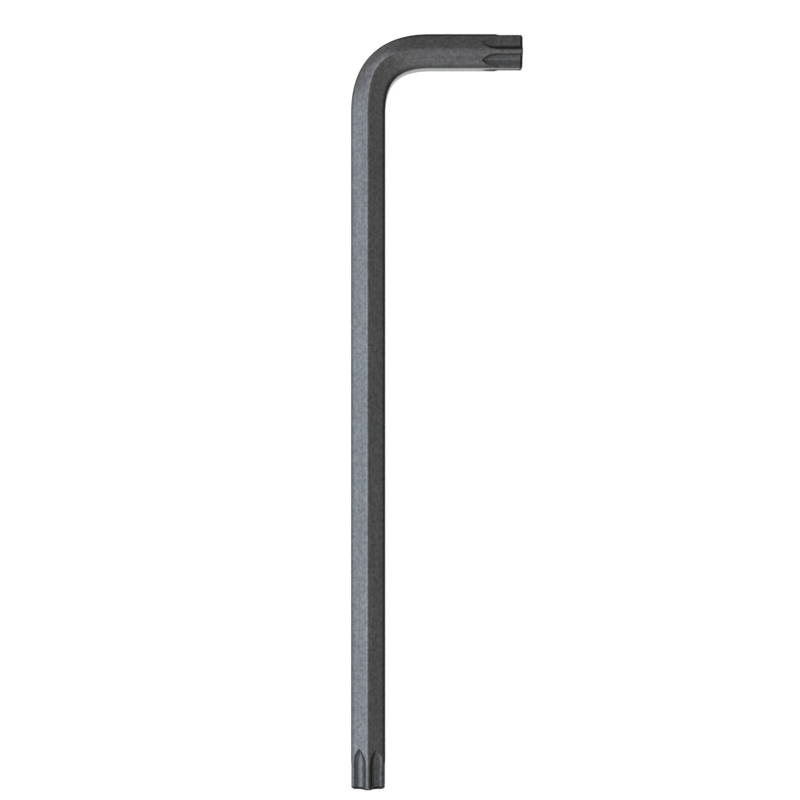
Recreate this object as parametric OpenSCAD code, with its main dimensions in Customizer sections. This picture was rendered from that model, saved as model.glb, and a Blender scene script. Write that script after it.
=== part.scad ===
// L-shaped star key: one length of hexagonal steel bar, bent once, with a
// six-lobe star milled on each end. It lies flat, corner down: +X runs along
// the short arm, +Y runs up the long arm towards the bend, +Z is up.

/* [Bar] */
// Width of the hexagonal bar across its flats
across_flats = 6; // [5:0.1:8]
// How far each sharp corner of the hexagon is rounded back
corner_rounding = 0.07; // [0.02:0.01:0.2]

/* [Arms] */
// Long arm, from its star end to the outer flat of the short arm
long_arm_length = 132; // [80:1:250]
// Short arm, from its star end to the outer flat of the long arm
short_arm_length = 30; // [26:0.5:60]
// Radius on the inside of the bend
bend_inner_radius = 6.3; // [4:0.1:8]

/* [Star ends] */
// Depth of the star's points below the sharp corners of the bar
point_relief = 0.139; // [0.08:0.001:0.3]
// Depth of the flutes below the points of the star
flute_cut = 0.94; // [0.7:0.01:1.2]
// Radius of the rounded top of each lobe
lobe_radius = 0.54; // [0.4:0.01:0.65]
// Length over which the flutes have their full depth
flute_length = 4.6; // [2:0.1:8]
// Length over which each flute then ramps up to its flat
run_out_length = 2.5; // [1.5:0.1:5]
// Bevel round each end face
end_bevel = 0.3; // [0.1:0.05:0.6]

/* [Hidden] */
$fn = 128;

sides = 6;
sector = 360 / sides;
half_sector = sector / 2;
quarter_turn = 90;
// Length by which a cut runs past what it cuts
overrun = 1;
// Clearance between surfaces of the star that would otherwise graze each other
cut_clearance = 0.02;
// Depth by which a lobe and a flute cut into each other where they meet
lobe_overlap = 0.01;
// Plain bar left on the star end, past the last of the flutes
plain_end = 0.4;
// Slope of the shoulder between the star's points and the bar's corners
shoulder_angle = 20;

half_flats = across_flats / 2;
sharp_corner_reach = half_flats / cos(half_sector);
corner_reach = sharp_corner_reach - corner_rounding;
bend_radius = bend_inner_radius + half_flats;

// The star: lobe tops and flutes are circles that meet in the neck
star_reach = sharp_corner_reach - point_relief;
lobe_place = star_reach - lobe_radius;
half_waist = star_reach - flute_cut;
meeting_radius = lobe_radius - lobe_overlap;
flute_radius = (lobe_place ^ 2 + half_waist ^ 2
        - 2 * lobe_place * half_waist * cos(half_sector) - meeting_radius ^ 2)
    / (2 * (meeting_radius + lobe_place * cos(half_sector) - half_waist));
flute_place = half_waist + flute_radius;
lobe_point = [lobe_place, 0];
flute_point = flute_place * [cos(half_sector), sin(half_sector)];
toward_flute = (flute_point - lobe_point) / norm(flute_point - lobe_point);
neck_radius = norm(lobe_point + toward_flute * lobe_radius);

// The ramps: each flute rises straight out of the bar to the middle of a flat
ramp_height = half_flats - half_waist - cut_clearance;
ramp_angle = atan(ramp_height / run_out_length);
ramp_place = half_waist + cut_clearance + flute_radius / cos(ramp_angle);
ramp_back = flute_radius * tan(ramp_angle) + 2 * cut_clearance;

tip_length = flute_length + run_out_length + plain_end;
bevel_foot = star_reach - end_bevel;
shoulder_foot = star_reach + cut_clearance;
shoulder_top = shoulder_foot + (tip_length + overrun - flute_length) * tan(shoulder_angle);

long_plain = long_arm_length - half_flats - bend_radius - tip_length;
short_plain = short_arm_length - half_flats - bend_radius - tip_length;

steel = [0.29, 0.30, 0.32];

// Cross-section of the bar, two flats facing along X and two corners along Y
module bar_section() {
    intersection() {
        rotate(half_sector) circle(r = sharp_corner_reach, $fn = sides);
        circle(r = corner_reach);
    }
}

// Cross-section of the star, with its lobes in line with the bar's corners
module star_section() {
    difference() {
        union() {
            circle(r = neck_radius);
            for (i = [0 : sides - 1])
                rotate(i * sector + half_sector) translate([lobe_place, 0]) circle(r = lobe_radius);
        }
        for (i = [0 : sides - 1])
            rotate(i * sector) translate([flute_place, 0]) circle(r = flute_radius);
    }
}

// Everything outside the star along the full depth of its flutes
module star_surround() {
    translate([0, 0, -overrun])
        linear_extrude(flute_length + overrun)
            difference() {
                circle(r = sharp_corner_reach + overrun);
                star_section();
            }
}

// Ramp at the end of the flute in the flat that faces +X
module flute_ramp() {
    translate([ramp_place, 0, flute_length])
        rotate([0, ramp_angle, 0])
            translate([0, 0, -ramp_back])
                cylinder(r = flute_radius, h = ramp_back + run_out_length + flute_radius + overrun);
}

// Half outline of the turned end: bevel, star points, then a shoulder up to the bar's corners
module turned_outline() {
    polygon([
        [0, -overrun],
        [bevel_foot - overrun, -overrun],
        [shoulder_foot, shoulder_foot - bevel_foot],
        [shoulder_foot, flute_length],
        [shoulder_top, tip_length + overrun],
        [0, tip_length + overrun],
    ]);
}

// Star end of the bar along +Z, with its end face at the origin
module star_end() {
    difference() {
        intersection() {
            plain_bar(tip_length);
            rotate_extrude() turned_outline();
        }
        star_surround();
        for (i = [0 : sides - 1]) rotate(i * sector) flute_ramp();
    }
}

// Plain hexagonal bar along +Z
module plain_bar(length) {
    linear_extrude(length) bar_section();
}

// Puts a piece that runs along +Z from its end face onto the long arm
module on_long_arm() {
    translate([0, half_flats - long_arm_length, 0]) rotate([-quarter_turn, 0, 0]) children();
}

// Puts a piece that runs along +Z from its end face onto the short arm
module on_short_arm() {
    translate([short_arm_length - half_flats, 0, 0])
        rotate([0, 0, quarter_turn]) rotate([-quarter_turn, 0, 0]) children();
}

// Moves the key from the crossing of its arms' centre lines to the middle of
// its plan, lying on its lower corners
module laid_flat() {
    translate([half_flats - short_arm_length / 2, long_arm_length / 2 - half_flats, corner_reach])
        children();
}

module long_arm() {
    color(steel) laid_flat() on_long_arm() translate([0, 0, tip_length]) plain_bar(long_plain);
}

module bend() {
    color(steel) laid_flat()
        translate([bend_radius, -bend_radius, 0])
            rotate([0, 0, quarter_turn])
                rotate_extrude(angle = quarter_turn) translate([bend_radius, 0]) bar_section();
}

module short_arm() {
    color(steel) laid_flat() on_short_arm() translate([0, 0, tip_length]) plain_bar(short_plain);
}

module long_arm_star_tip() {
    color(steel) laid_flat() on_long_arm() star_end();
}

module short_arm_star_tip() {
    color(steel) laid_flat() on_short_arm() star_end();
}

long_arm();
bend();
short_arm();
long_arm_star_tip();
short_arm_star_tip();
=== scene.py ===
import bpy
import numpy as np
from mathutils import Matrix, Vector


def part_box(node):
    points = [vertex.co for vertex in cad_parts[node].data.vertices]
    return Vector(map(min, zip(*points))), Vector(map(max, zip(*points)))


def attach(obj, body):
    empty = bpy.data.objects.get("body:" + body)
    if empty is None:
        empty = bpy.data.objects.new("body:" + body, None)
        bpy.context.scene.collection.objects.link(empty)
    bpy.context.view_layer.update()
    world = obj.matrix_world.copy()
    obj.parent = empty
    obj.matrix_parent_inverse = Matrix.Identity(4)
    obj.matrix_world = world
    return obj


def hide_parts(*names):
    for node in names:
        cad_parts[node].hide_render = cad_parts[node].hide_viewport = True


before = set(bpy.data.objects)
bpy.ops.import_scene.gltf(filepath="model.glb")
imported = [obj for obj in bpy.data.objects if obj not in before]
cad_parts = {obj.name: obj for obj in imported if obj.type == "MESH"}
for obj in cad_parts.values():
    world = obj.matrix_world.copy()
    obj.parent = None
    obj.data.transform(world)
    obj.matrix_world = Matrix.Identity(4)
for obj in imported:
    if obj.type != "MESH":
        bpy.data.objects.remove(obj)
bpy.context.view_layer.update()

# Long arm
# The plain straight length of the key's hexagonal steel bar, lying with one corner up and
# one corner down. It is cold drawn, so its flats are true and its arrises a little rounded,
# and it is blackened all over after it has been bent and hardened.
arm_low, arm_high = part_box("long_arm")
bend_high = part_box("bend")[1]
short_low, short_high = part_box("short_arm")
long_end_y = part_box("long_arm_star_tip")[0][1]
short_end_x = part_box("short_arm_star_tip")[1][0]
axis_x = (arm_low[0] + arm_high[0]) / 2
axis_y = (short_low[1] + short_high[1]) / 2
axis_z = (arm_low[2] + arm_high[2]) / 2
half_flats = (arm_high[0] - arm_low[0]) / 2

sides = 6
sector = 2 * np.pi / sides
arris_radius = 0.0004
points_round = sides * 64
turn = np.linspace(0, 2 * np.pi, points_round, endpoint=False)

bend_reach = 0.0107
bend_tightening = 0.42
path_steps = 4000
bend_start = axis_y - bend_reach - long_end_y


def heading(share):
    """Angle that the bar has turned through at a share of its bend, tightest in the middle.

    It is a quarter turn times the share, less a sine wave that flattens the bend's two ends.
    """
    share = np.clip(share, 0, 1)
    return np.pi / 2 * (share - bend_tightening * np.sin(2 * np.pi * share) / (2 * np.pi))


middles = (np.arange(path_steps) + 0.5) / path_steps
bend_length = bend_reach / np.cos(heading(middles)).mean()
bar_length = bend_start + bend_length + short_end_x - axis_x - bend_reach
path_step = bar_length / path_steps
path_along = path_step * np.arange(path_steps + 1)
path_heading = heading((bar_length * middles - bend_start) / bend_length)
path_x = axis_x + path_step * np.append(0, np.cumsum(np.sin(path_heading)))
path_y = long_end_y + path_step * np.append(0, np.cumsum(np.cos(path_heading)))


def centre_line(along):
    """Centre of the bar, and the way out of its bend, at distances along it from the long end.

    The centre is the sum of the short steps that lead there, each along its own heading. The
    way out is square to the heading, on the outside of the bend.
    """
    centre_x = np.interp(along, path_along, path_x)
    centre_y = np.interp(along, path_along, path_y)
    turned = heading((along - bend_start) / bend_length)
    outward = np.stack([-np.cos(turned), np.sin(turned)], axis=-1)
    return np.stack([centre_x, centre_y], axis=-1), outward


def from_flat(turn):
    """Angle from the middle of the nearest flat: the angle round the bar, folded into a sixth."""
    return (turn + sector / 2) % sector - sector / 2


def from_corner(turn):
    """Angle from the nearest corner: half a sixth of a turn, less the angle from the flat."""
    return sector / 2 - np.abs(from_flat(turn))


def far_side(angle, place, radius):
    """Distance from the axis to the far side of a circle, at an angle from the circle's middle.

    It is the place of the middle times the cosine of the angle, plus the root of this: the
    radius squared, less the square of the place times the sine.
    """
    left_over = radius**2 - (place * np.sin(angle))**2
    return place * np.cos(angle) + np.sqrt(np.maximum(left_over, 0))


def bar_radius(turn):
    """Distance from the axis to the surface of the plain bar, a hexagon with round corners.

    On a flat it is half the width across flats over the cosine of the angle from the flat's
    middle. Near a corner it is the far side of a circle that touches both flats.
    """
    on_flat = half_flats / np.cos(from_flat(turn))
    arris_place = (half_flats - arris_radius) / np.cos(sector / 2)
    on_arris = far_side(from_corner(turn), arris_place, arris_radius)
    flat_half_width = (half_flats - arris_radius) * np.tan(sector / 2)
    along_flat = half_flats * np.tan(np.abs(from_flat(turn)))
    return np.where(along_flat < flat_half_width, on_flat, on_arris)


def arris_marks(turn, radius):
    """Wear and a painted highlight on the upper and lower arris, and painted shade on the other
    four.

    Both are 1 on the crest of the arris. The wear and highlight falls off with the square of the
    distance from it, and the painted shade, which makes a more even band, with the fourth power.
    """
    rub_and_highlight_width = 0.0002
    shade_width = 0.0005
    from_crest = radius * np.sin(from_corner(turn))
    # Wear with a painted highlight on the upper and lower arris, painted shade on the four others.
    upper_or_lower = np.abs(np.sin(turn)) > np.cos(sector / 2)
    rubbed_and_highlit = np.where(upper_or_lower, np.exp(-(from_crest / rub_and_highlight_width)**2), 0)
    painted_shade = np.where(upper_or_lower, 0, np.exp(-(from_crest / shade_width)**4))
    return rubbed_and_highlit, painted_shade


def swept_bar(name, along, across, up, rubbed_and_highlit, painted_shade, sharp_rings):
    """Closed mesh of a length of bar: rings of points carried along the bar's centre line.

    A point is the centre of its ring, plus its distance across the bar along the way out of
    the bend, plus its height. Neighbouring rings are joined by quads, and the first and the
    last ring by fans to their centres. The straight_bar attribute is where each point lay
    before the bar was bent: across, up and along. The two marks are wear with a painted
    highlight, and painted shade.
    """
    rings, round_ring = across.shape
    centre, outward = centre_line(along)
    world = np.empty((rings, round_ring, 3))
    world[..., :2] = centre[:, None, :] + outward[:, None, :] * across[..., None]
    world[..., 2] = axis_z + up
    straight = np.stack([across, up, np.broadcast_to(along[:, None], across.shape)], axis=-1)
    ends = [0, -1]
    vertices = np.vstack([world.reshape(-1, 3), world[ends].mean(axis=1)])
    straight = np.vstack([straight.reshape(-1, 3), straight[ends].mean(axis=1)])

    start_pole, end_pole = rings * round_ring, rings * round_ring + 1
    here = np.arange(start_pole).reshape(rings, round_ring)
    beside = np.roll(here, -1, axis=1)
    quads = np.stack([here[:-1], beside[:-1], beside[1:], here[1:]], axis=-1).reshape(-1, 4)
    start_fan = np.stack([np.full(round_ring, start_pole), beside[0], here[0]], axis=-1)
    end_fan = np.stack([np.full(round_ring, end_pole), here[-1], beside[-1]], axis=-1)
    mesh = bpy.data.meshes.new(name)
    mesh.from_pydata(vertices, [], quads.tolist() + start_fan.tolist() + end_fan.tolist())
    mesh.polygons.foreach_set("use_smooth", np.ones(len(mesh.polygons), dtype=bool))

    edges = np.empty(2 * len(mesh.edges), dtype=np.int32)
    mesh.edges.foreach_get("vertices", edges)
    ring_of = np.where(edges < start_pole, edges // round_ring, -1).reshape(-1, 2)
    is_rim = np.isin(ring_of[:, 0], np.arange(rings)[sharp_rings])
    mesh.edges.foreach_set("use_edge_sharp", is_rim & (ring_of[:, 0] == ring_of[:, 1]))

    place = mesh.attributes.new("straight_bar", "FLOAT_VECTOR", "POINT")
    place.data.foreach_set("vector", straight.ravel())
    for mark, values in {"rubbed_and_highlit": rubbed_and_highlit, "painted_shade": painted_shade}.items():
        layer = mesh.attributes.new(mark, "FLOAT", "POINT")
        layer.data.foreach_set("value", np.append(values.ravel(), values[ends].mean(axis=1)))
    mesh.update()
    piece = bpy.data.objects.new(name, mesh)
    bpy.context.scene.collection.objects.link(piece)
    return piece


def add_node(tree, kind, inputs, **settings):
    """Adds a node, sets it, links or sets each of its inputs, and gives its outputs."""
    made = tree.nodes.new(kind)
    for name, value in settings.items():
        setattr(made, name, value)
    for name, value in inputs.items():
        if isinstance(value, bpy.types.NodeSocket):
            tree.links.new(value, made.inputs[name])
        else:
            made.inputs[name].default_value = value
    return made.outputs


def combined(tree, operation, *values):
    """Values put together by an operation, such as their product or the greatest of them."""
    return add_node(tree, "ShaderNodeMath", dict(enumerate(values)), operation=operation)["Value"]


def ranged(tree, value, start, end, low, high):
    """A value on a straight line from low at the start to high at the end, and level past both."""
    inputs = {"Value": value, "From Min": start, "From Max": end, "To Min": low, "To Max": high}
    return add_node(tree, "ShaderNodeMapRange", inputs)["Result"]


def noise(tree, place, scale, detail, low, high):
    """Noise of a given scale, with its middle range spread from a low to a high value."""
    raw = add_node(tree, "ShaderNodeTexNoise", {"Vector": place, "Scale": scale, "Detail": detail})
    return ranged(tree, raw["Fac"], start=0.3, end=0.7, low=low, high=high)


def mixed(tree, share, first, second, blend="MIX"):
    """The first colour, mixed with a share of the second or blended with it."""
    inputs = {"Fac": share, "Color1": first, "Color2": second}
    return add_node(tree, "ShaderNodeMixRGB", inputs, blend_type=blend)["Color"]


def blackened_steel():
    """Steel under a thin, lightly oiled black oxide: dark satin metal with faint drawn lines.

    The mottling is noise on the unbent bar's coordinates, and the lines are noise drawn out
    along the bar. Rubbed arrises are lighter, as wear and a painted highlight, and painted
    shade is darker and rougher. The oil is the coat.
    """
    cool_steel = (0.148, 0.153, 0.159, 1)
    warm_steel = (0.159, 0.155, 0.152, 1)
    # Lighter rubbed steel: wear, and a painted highlight on the arrises and lobes.
    rubbed_and_highlit_steel = (0.27, 0.26, 0.25, 1)
    rub_and_highlight_share = 0.5
    # Near black painted shade, which is also rougher.
    painted_shade_colour = (0.004, 0.004, 0.004, 1)
    shade_roughness = 0.3
    line_scale = (1, 1, 0.02)
    relief_strength = 0.2
    relief_depth = 0.00002
    oil_share = 0.4
    oil_roughness = 0.25
    material = bpy.data.materials.new("blackened_steel")
    material.use_nodes = True
    tree = material.node_tree
    shader = tree.nodes["Principled BSDF"]
    place = add_node(tree, "ShaderNodeAttribute", {}, attribute_name="straight_bar")["Vector"]
    rubbed_and_highlit = add_node(tree, "ShaderNodeAttribute", {}, attribute_name="rubbed_and_highlit")["Fac"]
    painted_shade = add_node(tree, "ShaderNodeAttribute", {}, attribute_name="painted_shade")["Fac"]
    drawn = add_node(tree, "ShaderNodeMapping", {"Vector": place, "Scale": line_scale})["Vector"]

    tint = noise(tree, place, scale=420, detail=2, low=0, high=1)
    mottle = noise(tree, place, scale=1700, detail=3, low=0.75, high=1.25)
    patina = noise(tree, place, scale=110, detail=2, low=0.95, high=1.05)
    lines = noise(tree, drawn, scale=2600, detail=3, low=0.91, high=1.09)
    grain = noise(tree, place, scale=5200, detail=2, low=0.27, high=0.37)
    tone = combined(tree, "MULTIPLY", mottle, patina)
    tone = combined(tree, "MULTIPLY", tone, lines)
    # Wear with a painted highlight, then painted shade, go into the steel's colour.
    rub_and_highlight = combined(tree, "MULTIPLY", rubbed_and_highlit, rub_and_highlight_share)
    metal = mixed(tree, tint, cool_steel, warm_steel)
    metal = mixed(tree, rub_and_highlight, metal, rubbed_and_highlit_steel)
    metal = mixed(tree, 1, metal, tone, "MULTIPLY")
    metal = mixed(tree, painted_shade, metal, painted_shade_colour)
    rough = combined(tree, "MULTIPLY_ADD", painted_shade, shade_roughness, grain)
    relief = combined(tree, "ADD", mottle, grain)
    relief = {"Height": relief, "Strength": relief_strength, "Distance": relief_depth}
    tree.links.new(metal, shader.inputs["Base Color"])
    tree.links.new(rough, shader.inputs["Roughness"])
    tree.links.new(add_node(tree, "ShaderNodeBump", relief)["Normal"], shader.inputs["Normal"])
    shader.inputs["Metallic"].default_value = 1
    shader.inputs["Coat Weight"].default_value = oil_share
    shader.inputs["Coat Roughness"].default_value = oil_roughness
    return material


steel = blackened_steel()


def fit(piece, node):
    """Finishes a length of bar: its material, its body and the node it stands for."""
    piece.data.materials.append(steel)
    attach(piece, "root")
    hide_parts(node)


def stations(start, end, gap):
    """Places from start to end, evenly spaced and no further apart than the gap."""
    return np.linspace(start, end, 1 + int(np.ceil((end - start) / gap)))


def side_shade(along, facing):
    """Share of painted shade on what faces across the bar, out of its bend or into it: most to +X
    and +Y.

    It is a least share, plus a part of the greater component of the way that the side faces,
    which is the way out of the bend times how far the side faces out (1) or in (-1).
    """
    # More painted shade on the sides turned away from the lamps, +X and +Y, than on the lit sides.
    least_share = 0.35
    facing_share = 0.5
    outward = centre_line(along)[1]
    return least_share + facing_share * np.maximum(facing * outward[:, :1], facing * outward[:, 1:])


def plain_bar(name, along, drift):
    """A length of plain bar: the same hexagonal ring at each station, drawn outwards by a drift.

    The drift is full on the upper and lower arris, and falls with the square of the distance
    across the bar to nothing on the inner and outer flat.
    """
    radius = np.broadcast_to(bar_radius(turn), (len(along), points_round))
    across, up = radius * np.cos(turn), radius * np.sin(turn)
    across = across + drift[:, None] * (1 - (across / half_flats)**2)
    # Wear with a painted highlight on the upper and lower arris, and painted shade on the others,
    # heavier on the sides turned away from the lamps.
    rubbed_and_highlit, painted_shade = arris_marks(turn, radius)
    painted_shade = painted_shade * side_shade(along, np.sign(np.cos(turn)))
    return swept_bar(name, along, across, up, rubbed_and_highlit, painted_shade, [0, -1])


arm_station_gap = 0.001
tip_length = arm_low[1] - long_end_y
bend_lead = bend_reach - (bend_high[0] - axis_x)
long_along = stations(tip_length, bend_start + bend_lead, arm_station_gap)
fit(plain_bar("long_arm_bar", long_along, np.zeros_like(long_along)), "long_arm")

# Bend
# The quarter turn between the arms, bent cold in the same bar round a former. The bend is
# tightest in its middle, and there the bar's upper and lower arrises are drawn outwards.
bend_station_gap = 0.0002
arris_drift = 0.00055
bend_along = stations(long_along[-1], bend_start + bend_length - bend_lead, bend_station_gap)
bend_share = (bend_along - bend_along[0]) / (bend_along[-1] - bend_along[0])
fit(plain_bar("bend_bar", bend_along, arris_drift * np.sin(np.pi * bend_share)**2), "bend")

# Short arm
# The plain straight length between the bend and the short arm's star. It is the same drawn
# and blackened steel bar, and runs on from the bend without a joint.
short_along = stations(bend_along[-1], bar_length - tip_length, arm_station_gap)
fit(plain_bar("short_arm_bar", short_along, np.zeros_like(short_along)), "short_arm")

# Star tips
# The two ends of the steel bar, each milled to a star of six round lobes for a screw's recess.
# The flutes between the lobes are cut into the flats and run out of them in arches, and the
# end face is turned flat with a small bevel.
star_reach = 0.003325
half_waist = 0.002385
lobe_radius = 0.00054
full_flute = 0.0046
flute_nose = 0.0071
least_to_nose = 0.0001
nose_taper = 0.9
nose_rise = 0.5
shoulder_place = 0.0044
shoulder_length = 0.0009
flute_edge_rounding = 0.00008
rounding_growth = 50
end_bevel = 0.0003
bevel_edge_rounding = 0.00004
short_star_turn = np.radians(4.5)
star_station_gap = 0.00005
face_rings = 10
settling_rounds = 12

# Painted shade on the flute walls, the bevel and the lobes, and an even darkening of the end face.
wall_shade = 1.18
wall_facing_slope = 0.2
shaded_slope = 0.1
shaded_slope_rise = 0.25
run_out_weight = 0.3
shade_spread = 2
bevel_shade = 0.9
bevel_shade_end = 0.00055
bevel_shade_fade = 0.0002
bevel_highlight_power = 0.3
end_face_darkening = 0.4
# Wear with a painted highlight on the lobes, and painted shade on their sides.
lobe_rub_and_highlight = 2.0
lobe_shade = 0.6

lobe_place = star_reach - lobe_radius
lobe_off_flute = lobe_place * np.cos(sector / 2)
flute_radius = ((lobe_place**2 + half_waist**2 - 2 * half_waist * lobe_off_flute - lobe_radius**2)
                / (2 * (lobe_radius + lobe_off_flute - half_waist)))
flute_place = half_waist + flute_radius


def smooth_least(a, b, width):
    """The lesser of two values, with the crease where they cross rounded off by a parabola.

    The parabola spans the places where the values differ by less than the width.
    """
    mix = np.clip(0.5 + 0.5 * (b - a) / width, 0, 1)
    return b + (a - b) * mix - width * mix * (1 - mix)


def smooth_step(value):
    """0 up to 0, 1 from 1 on, and between them three times the square less twice the cube."""
    value = np.clip(value, 0, 1)
    return value**2 * (3 - 2 * value)


def shoulder(from_end):
    """Share of the plain bar in the tip's section: a smooth step along the star's shoulder."""
    return smooth_step((from_end - shoulder_place) / shoulder_length + 0.5)


def flute_surface(turn, width_share, depth_share):
    """Distance from the axis to the flute in the nearest flat, at an angle round the bar.

    The full flute's depth below the flat is a circle's. It is drawn in sideways by the width
    share and scaled by the depth share. A ray from the axis meets it where the place sideways
    is the tangent of the ray's angle times what the depth leaves, found by a few rounds.
    """
    slope = np.tan(np.abs(from_flat(turn)))
    sideways = half_flats * slope
    for _ in range(settling_rounds):
        left_over = np.maximum(flute_radius**2 - (sideways / width_share)**2, 0)
        depth = depth_share * (np.sqrt(left_over) - (flute_place - half_flats))
        sideways = (half_flats - depth) * slope
    return (half_flats - depth) / np.cos(from_flat(turn))


def star_radius(turn, from_end, star_turn):
    """Distance from the axis to the star tip's surface, at an angle and a distance from the end.

    The full star is the far side of the lobe's circle until it meets the flute's circle, and
    the flute after that, as far as the bar reaches. Past it the bar takes over, and each flute
    narrows and rises towards its nose by powers of a parabola that is 0 at the nose and 1, and
    level, where the flute is full. Its edges are rounded, less at the very nose. A cone is the
    bevel.
    """
    star_angle = turn - star_turn
    lobe = far_side(from_corner(star_angle), lobe_place, lobe_radius)
    toward_flute = flute_place * np.exp(1j * sector / 2) - lobe_place
    meeting = lobe_place + lobe_radius * toward_flute / np.abs(toward_flute)
    on_lobe = from_corner(star_angle) < np.angle(meeting)
    full_star = np.where(on_lobe, lobe, flute_surface(star_angle, 1, 1))
    full_star = np.minimum(full_star, bar_radius(turn))
    to_nose = np.clip((flute_nose - from_end) / (flute_nose - full_flute), least_to_nose, 1)
    run_out = to_nose * (2 - to_nose)
    flute = flute_surface(star_angle, run_out**nose_taper, run_out**nose_rise)
    rounding = flute_edge_rounding * np.minimum(rounding_growth * to_nose, 1)
    fluted_bar = smooth_least(bar_radius(turn), flute, rounding)
    fluted_bar = np.where(from_end < flute_nose, fluted_bar, bar_radius(turn))
    tip = full_star + (fluted_bar - full_star) * shoulder(from_end)
    bevel = star_reach - end_bevel + from_end
    return smooth_least(tip, bevel, bevel_edge_rounding)


def star_tip(name, star_turn, end_along, inward):
    """A star tip: rings of the star from its end, inwards along the bar, and its end face.

    The flute walls get painted shade by how fast the depth below the plain bar changes there
    and by the way they face, most beside the upper and the lower lobe, and a little past their
    edges. The bevel gets painted shade by its distance from the end, but not where the arris
    has wear and a painted highlight. The marks on the lobes turn back to the bar's arrises
    along the shoulder.
    """
    from_end = np.append(np.zeros(face_rings), stations(0, tip_length, star_station_gap))
    shrink = np.ones_like(from_end)
    shrink[:face_rings] = np.arange(1, face_rings + 1) / (face_rings + 1)
    radius = star_radius(turn[None, :], from_end[:, None], star_turn)
    plain = shoulder(from_end)[:, None]
    corner_turn = turn - star_turn * (1 - plain)
    depth = bar_radius(corner_turn) - radius
    round_slope = (np.roll(depth, -1, axis=1) - np.roll(depth, 1, axis=1)) / (2 * radius * turn[1])
    along_slope = run_out_weight * np.gradient(depth, axis=0) / star_station_gap
    steepness = np.hypot(round_slope, along_slope)
    along = end_along + inward * from_end
    # Painted shade on the steep flute walls, heavier on the walls turned away from the lamps.
    facing = np.tanh(-round_slope * np.sin(turn) / wall_facing_slope)
    walls = wall_shade * side_shade(along, facing) * np.sin(turn)**4
    walls = walls * smooth_step((steepness - shaded_slope) / shaded_slope_rise)
    spread = range(-shade_spread, shade_spread + 1)
    walls = np.max([np.roll(walls, points, axis=1) for points in spread], axis=0)
    rubbed_and_highlit, painted_shade = arris_marks(corner_turn, radius)
    # Painted shade on the bevel, left off where there is wear with a painted highlight.
    bevel = bevel_shade * smooth_step((bevel_shade_end - from_end) / bevel_shade_fade)[:, None]
    bevel = bevel * (1 - rubbed_and_highlit**bevel_highlight_power)
    # The painted shade of the side arrises carries on over the lobes.
    painted_shade = painted_shade * side_shade(along, np.sign(np.cos(turn))) * (plain + lobe_shade * (1 - plain))
    painted_shade = np.minimum(np.maximum(np.maximum(walls, bevel), painted_shade), 1)
    on_face = shrink[:, None] < 1
    # More wear with a painted highlight on the lobes, none on the end face.
    rubbed_and_highlit = np.where(on_face, 0, rubbed_and_highlit * (plain + lobe_rub_and_highlight * (1 - plain)))
    # The end face is evenly darkened.
    painted_shade = np.where(on_face, end_face_darkening, painted_shade)
    radius = radius * shrink[:, None]
    across, up = radius * np.cos(turn), radius * np.sin(turn)
    order = slice(None, None, inward)
    sharp_rings = [face_rings, -1] if inward > 0 else [0, -1 - face_rings]
    return swept_bar(name, along[order], across[order], up[order], rubbed_and_highlit[order], painted_shade[order],
                     sharp_rings)


fit(star_tip("long_arm_star", 0, 0, 1), "long_arm_star_tip")
fit(star_tip("short_arm_star", short_star_turn, bar_length, -1), "short_arm_star_tip")

# Floor, light and camera
# A plain white floor, a large cool soft box at the left, weak fills behind and in front, and a
# dome that darkens towards the horizon. The camera looks straight down on the key.
floor_half_width = 3.0
floor_gap = 0.00002
floor_colour = (0.25, 0.25, 0.25, 1)
floor_glow = 0.93
corners = np.array([[-1, -1], [1, -1], [1, 1], [-1, 1]]) * floor_half_width
floor_mesh = bpy.data.meshes.new("floor")
corners = np.column_stack([corners, np.full(len(corners), -floor_gap)])
floor_mesh.from_pydata(corners, [], [range(len(corners))])
floor = bpy.data.objects.new("floor", floor_mesh)
bpy.context.scene.collection.objects.link(floor)

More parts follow.
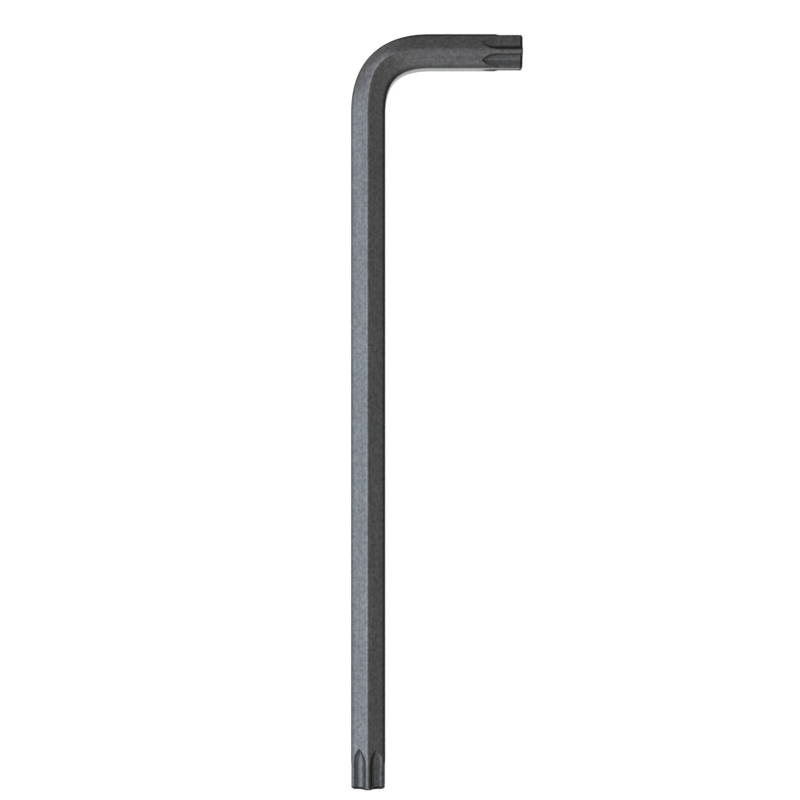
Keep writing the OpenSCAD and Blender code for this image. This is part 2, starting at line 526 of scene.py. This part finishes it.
paper = bpy.data.materials.new("white_paper")
paper.use_nodes = True
paper_tree = paper.node_tree
paper_tree.nodes.clear()
light_path = add_node(paper_tree, "ShaderNodeLightPath", {})
seen = combined(paper_tree, "MAXIMUM", light_path["Is Camera Ray"], light_path["Is Glossy Ray"])
seen = combined(paper_tree, "MAXIMUM", seen, light_path["Is Transmission Ray"])
glow = combined(paper_tree, "MULTIPLY", seen, floor_glow)
matt = add_node(paper_tree, "ShaderNodeBsdfDiffuse", {"Color": floor_colour})["BSDF"]
shine = add_node(paper_tree, "ShaderNodeEmission", {"Strength": glow})["Emission"]
both = add_node(paper_tree, "ShaderNodeAddShader", {0: matt, 1: shine})["Shader"]
add_node(paper_tree, "ShaderNodeOutputMaterial", {"Surface": both})
floor_mesh.materials.append(paper)


def soft_box(name, place, width, power, colour):
    """A square area lamp at a place, aimed at the origin."""
    lamp = bpy.data.lights.new(name, "AREA")
    lamp.size = width
    lamp.energy = power
    lamp.color = colour
    box = bpy.data.objects.new(name, lamp)
    box.location = place
    box.rotation_euler = (-Vector(place)).to_track_quat("-Z", "Y").to_euler()
    bpy.context.scene.collection.objects.link(box)


cool_light = (0.86, 1.0, 1.14)
fill_light = (1.0, 0.97, 1.07)
soft_box("key_light", place=(-0.700, -0.161, 0.541), width=1.10, power=4.7, colour=cool_light)
soft_box("back_fill", place=(-0.485, 0.578, 0.49), width=0.6, power=1.1, colour=fill_light)
soft_box("front_fill", place=(0.0, -0.8, 0.48), width=0.8, power=0.72, colour=fill_light)

dome = bpy.data.worlds.new("dome")
dome.use_nodes = True
dome_tree = dome.node_tree
direction = add_node(dome_tree, "ShaderNodeTexCoord", {})["Generated"]
height = add_node(dome_tree, "ShaderNodeSeparateXYZ", {"Vector": direction})["Z"]
risen = ranged(dome_tree, height, start=0.0, end=0.6, low=0.2, high=0.455)
dimmed = ranged(dome_tree, height, start=0.75, end=1.0, low=1.0, high=0.85)
level = combined(dome_tree, "MULTIPLY", risen, dimmed)
sky = dome_tree.nodes["Background"].inputs
dome_tree.links.new(level, sky["Strength"])
sky["Color"].default_value = (1, 1, 1, 1)
bpy.context.scene.world = dome

view_width = 0.1406
camera_height = 0.3251
view_centre = (-0.006417, 0.001984)
sensor_width = 36.0
camera_data = bpy.data.cameras.new("camera")
camera_data.sensor_width = sensor_width
camera_data.lens = sensor_width * camera_height / view_width
camera = bpy.data.objects.new("camera", camera_data)
camera.location = (*view_centre, axis_z + camera_height)
bpy.context.scene.collection.objects.link(camera)
bpy.context.scene.camera = camera
bpy.context.scene.view_settings.view_transform = "Standard"
